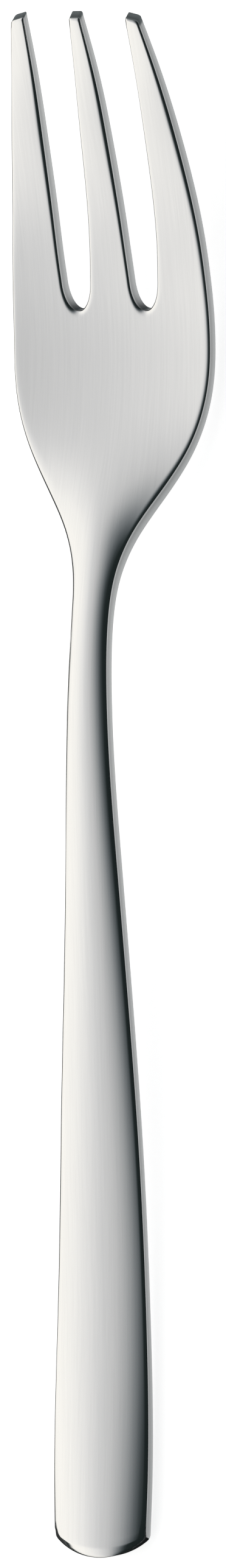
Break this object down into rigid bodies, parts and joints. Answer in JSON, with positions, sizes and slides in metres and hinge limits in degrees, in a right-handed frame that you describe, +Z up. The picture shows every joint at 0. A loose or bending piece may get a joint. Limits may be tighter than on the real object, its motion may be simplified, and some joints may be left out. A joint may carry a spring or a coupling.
{
  "type": "pastry fork",
  "caption": "Small stainless steel cake fork with narrow tapering tines, a slim arched neck and a crowned handle that ends in a shallow arc.",
  "frame": {"origin": "on the table under the middle of the fork's length, with the fork lying on its back", "axes": "+Y along the fork from the butt to the tips of the tines, +X to the right across the tines, +Z up, out of the hollow face"},
  "size_m": [0.021, 0.1566, 0.0155],
  "materials": {
    "polished_steel": "mirror polished, with faint lengthwise polishing lines on the head and fine cross grain on the cut edges"
  },
  "bodies": {
    "root": {"handle": "polished_steel", "neck": "polished_steel", "head": "polished_steel", "left_tine": "polished_steel", "middle_tine": "polished_steel", "right_tine": "polished_steel"}
  },
  "joints": []
}
